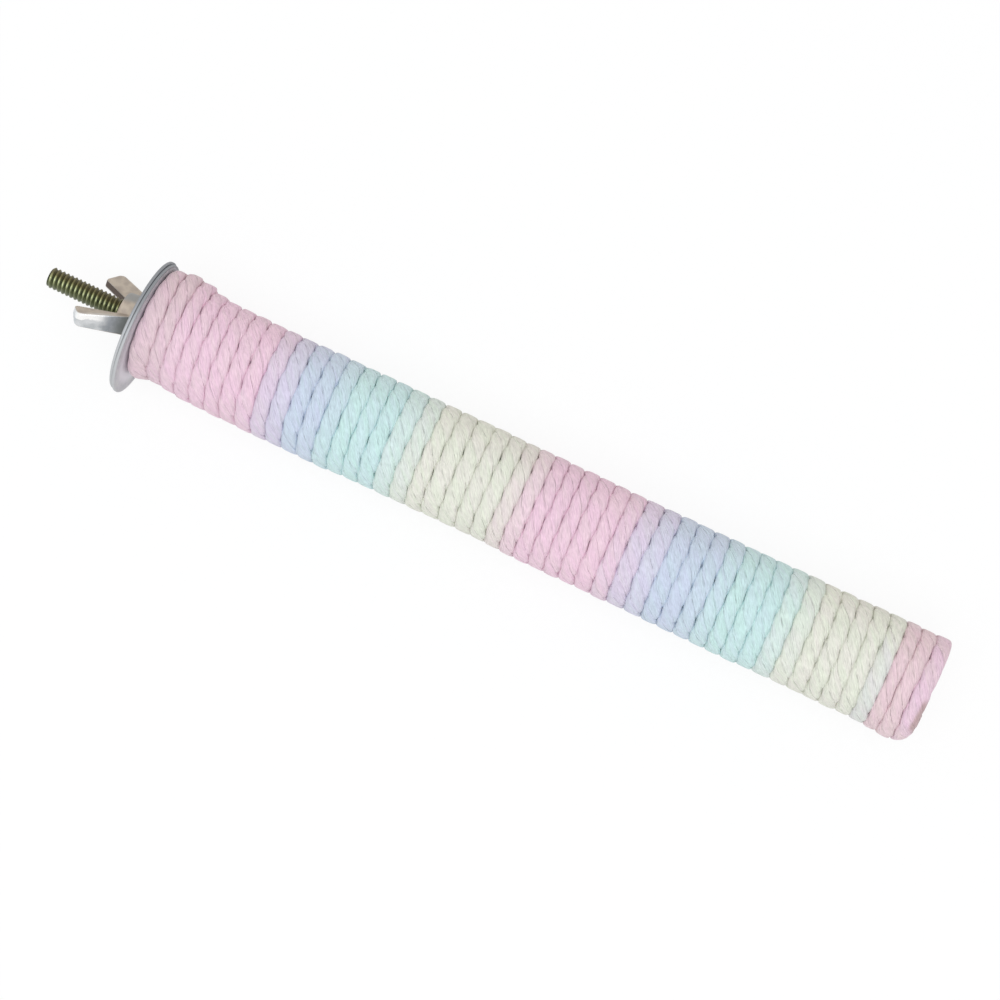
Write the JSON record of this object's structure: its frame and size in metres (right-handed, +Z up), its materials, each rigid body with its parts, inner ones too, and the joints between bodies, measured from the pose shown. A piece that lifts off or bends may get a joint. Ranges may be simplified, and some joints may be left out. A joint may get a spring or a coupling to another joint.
{
  "type": "bird perch",
  "caption": "Straight cage perch: wooden stick wound with thick dyed rope, held to the bars by a hanger bolt, wide washers and a wing nut.",
  "frame": {"origin": "on the bolt's axis, in the clamp plane where the two washers meet", "axes": "+X along the stick from the clamp towards the free end, +Z up with the perch level, the wing nut on the -X side"},
  "size_m": [0.2191, 0.0322, 0.0318],
  "materials": {
    "stick_wood": "plain turned softwood",
    "dyed_rope": "soft twisted cotton rope, space-dyed pale pink, lavender, mint and cream",
    "yellow_zinc": "yellow zinc plated steel",
    "washer_zinc": "dull blue-grey zinc plate",
    "nut_zinc": "bright zinc plate on a cast nut"
  },
  "bodies": {
    "perch": {"perch_stick": "stick_wood", "rope_wrap": "dyed_rope", "hanger_bolt": "yellow_zinc"},
    "inner_washer": {"inner_washer": "washer_zinc"},
    "outer_washer": {"outer_washer": "washer_zinc"},
    "wing_nut": {"wing_nut": "nut_zinc"}
  },
  "joints": [
    {"name": "inner_washer_spin", "type": "hinge", "parent": "perch", "child": "inner_washer", "pos_m": [0.00035, -0.00143, 0], "axis": [1, 0, 0], "continuous": true},
    {"name": "outer_washer_slide", "type": "slide", "parent": "perch", "child": "outer_washer", "axis": [-1, 0, 0], "range_m": [0, 0.01693]},
    {"name": "wing_nut_turn", "type": "hinge", "parent": "outer_washer", "child": "wing_nut", "pos_m": [-0.00082, 0, 0], "axis": [-1, 0, 0], "range_deg": [0, 5760]}
  ],
  "couplings": [
    {"joint": "outer_washer_slide", "follows": "wing_nut_turn", "m_per_rad": 0.00016839}
  ]
}
